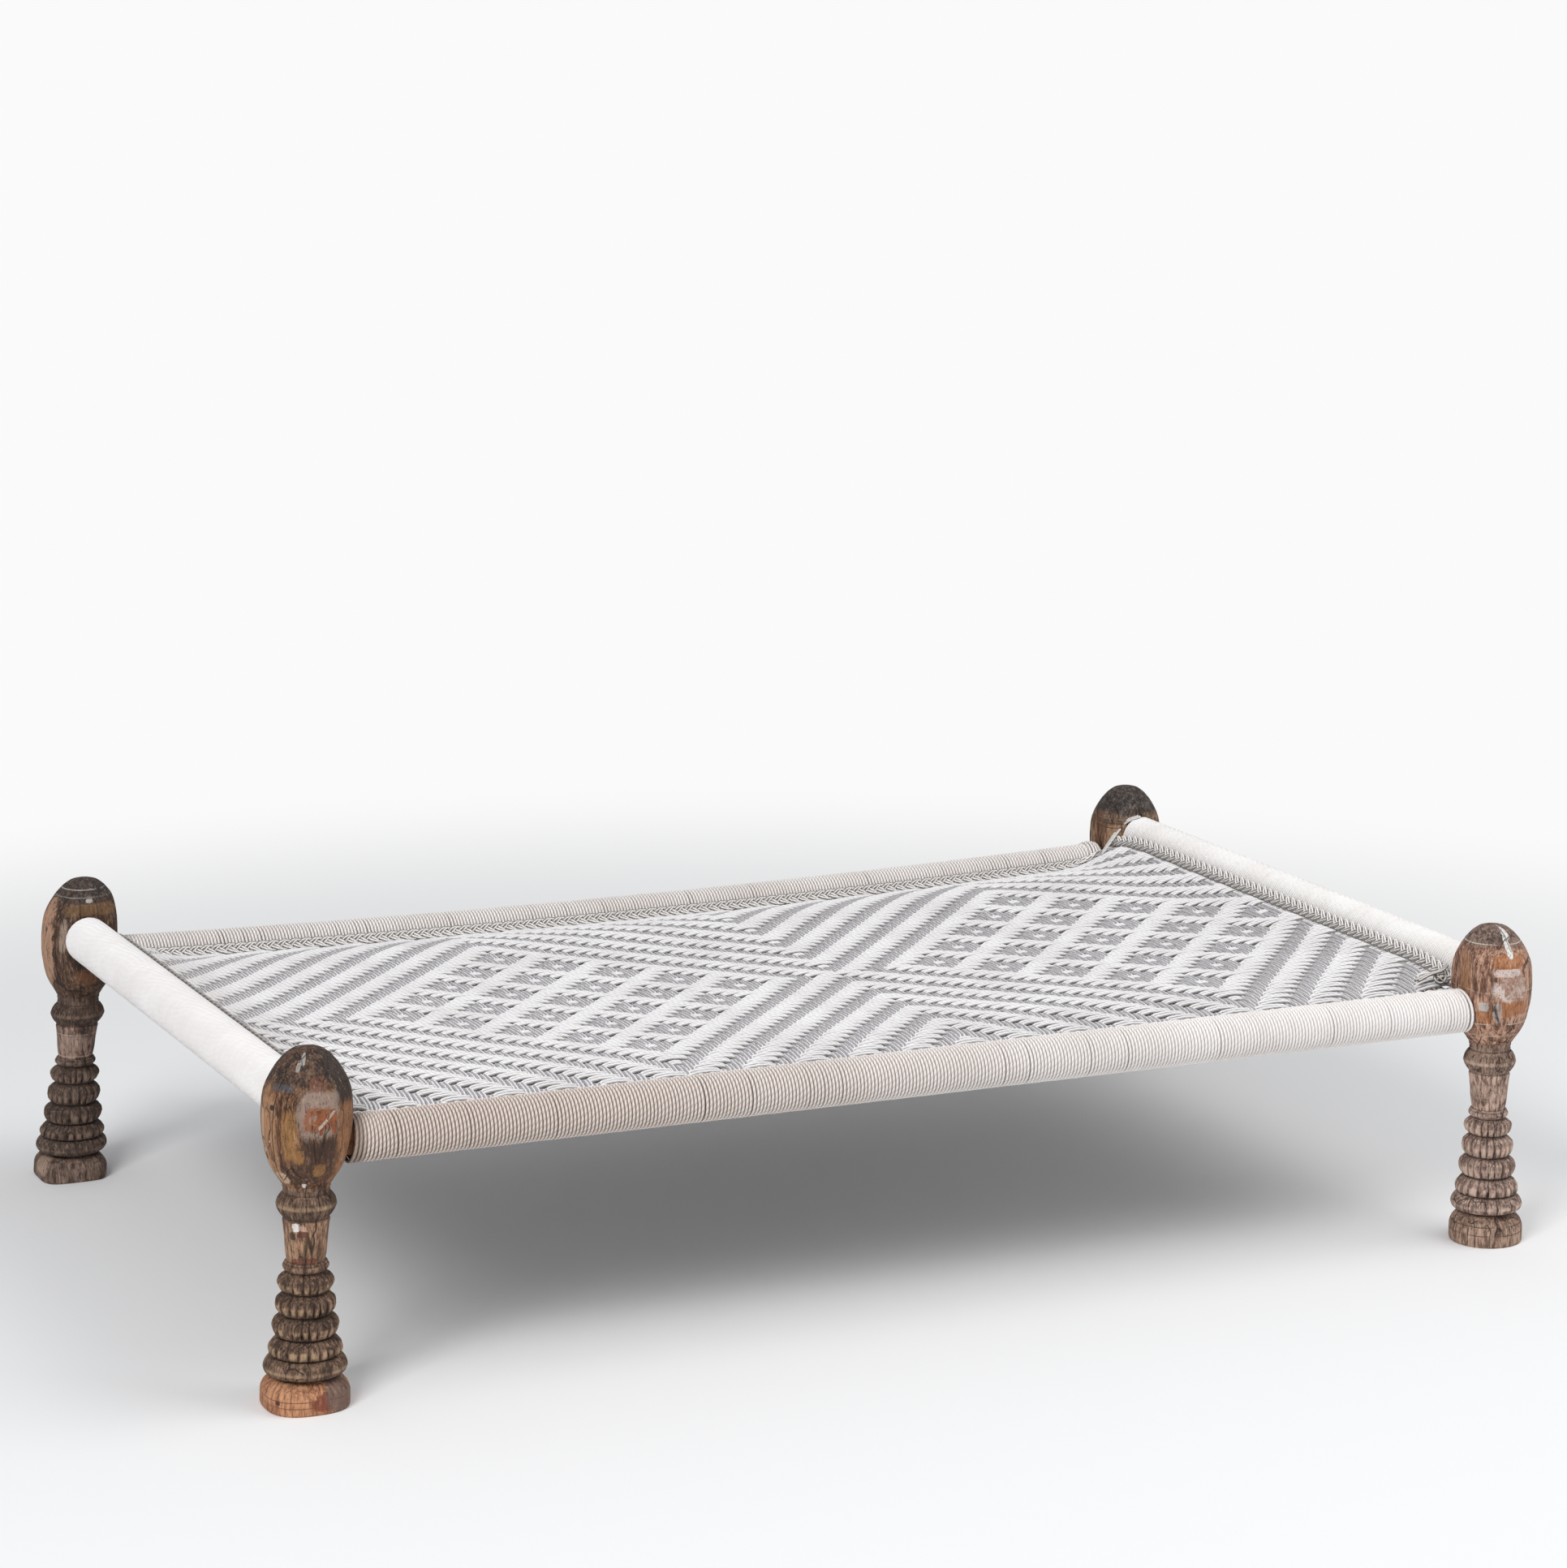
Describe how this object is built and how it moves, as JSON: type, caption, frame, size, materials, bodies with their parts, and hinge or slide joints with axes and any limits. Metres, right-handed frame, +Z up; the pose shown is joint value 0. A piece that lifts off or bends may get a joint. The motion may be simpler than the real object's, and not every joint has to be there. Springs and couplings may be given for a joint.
{
  "type": "charpai",
  "caption": "Low rope bed on turned wooden legs with egg-shaped heads, rails wound with cotton cord and a patterned woven cord bed.",
  "frame": {"origin": "on the floor, under the middle of the bounding box", "axes": "+X along the bed, +Y from its front long side to its back one, +Z up"},
  "size_m": [1.8456, 1.18, 0.458],
  "materials": {
    "leg_wood": "worn, dry",
    "pole_wood": "bare",
    "wedge_wood": "bare",
    "cotton_cord": "matt cotton"
  },
  "bodies": {
    "root": {"leg_front_left": "leg_wood", "leg_back_left": "leg_wood", "leg_front_right": "leg_wood", "leg_back_right": "leg_wood", "side_rail_front": "pole_wood", "side_rail_back": "pole_wood", "end_rail_left": "pole_wood", "end_rail_right": "pole_wood", "wedge_front_rail_front_left": "wedge_wood", "wedge_front_rail_front_right": "wedge_wood", "wedge_back_rail_back_left": "wedge_wood", "wedge_back_rail_back_right": "wedge_wood", "wedge_left_rail_front_left": "wedge_wood", "wedge_left_rail_back_left": "wedge_wood", "wedge_right_rail_front_right": "wedge_wood", "wedge_right_rail_back_right": "wedge_wood", "cord_wrap_front_rail": "cotton_cord", "edge_braid_front": "cotton_cord", "end_turns_front_rail_front_left": "cotton_cord", "end_turns_front_rail_front_right": "cotton_cord", "cord_wrap_back_rail": "cotton_cord", "edge_braid_back": "cotton_cord", "end_turns_back_rail_back_left": "cotton_cord", "end_turns_back_rail_back_right": "cotton_cord", "cord_wrap_left_rail": "cotton_cord", "edge_braid_left": "cotton_cord", "end_turns_left_rail_front_left": "cotton_cord", "end_turns_left_rail_back_left": "cotton_cord", "cord_wrap_right_rail": "cotton_cord", "edge_braid_right": "cotton_cord", "end_turns_right_rail_front_right": "cotton_cord", "end_turns_right_rail_back_right": "cotton_cord", "woven_bed": "cotton_cord", "corner_knot_front_right": "cotton_cord"}
  },
  "joints": []
}
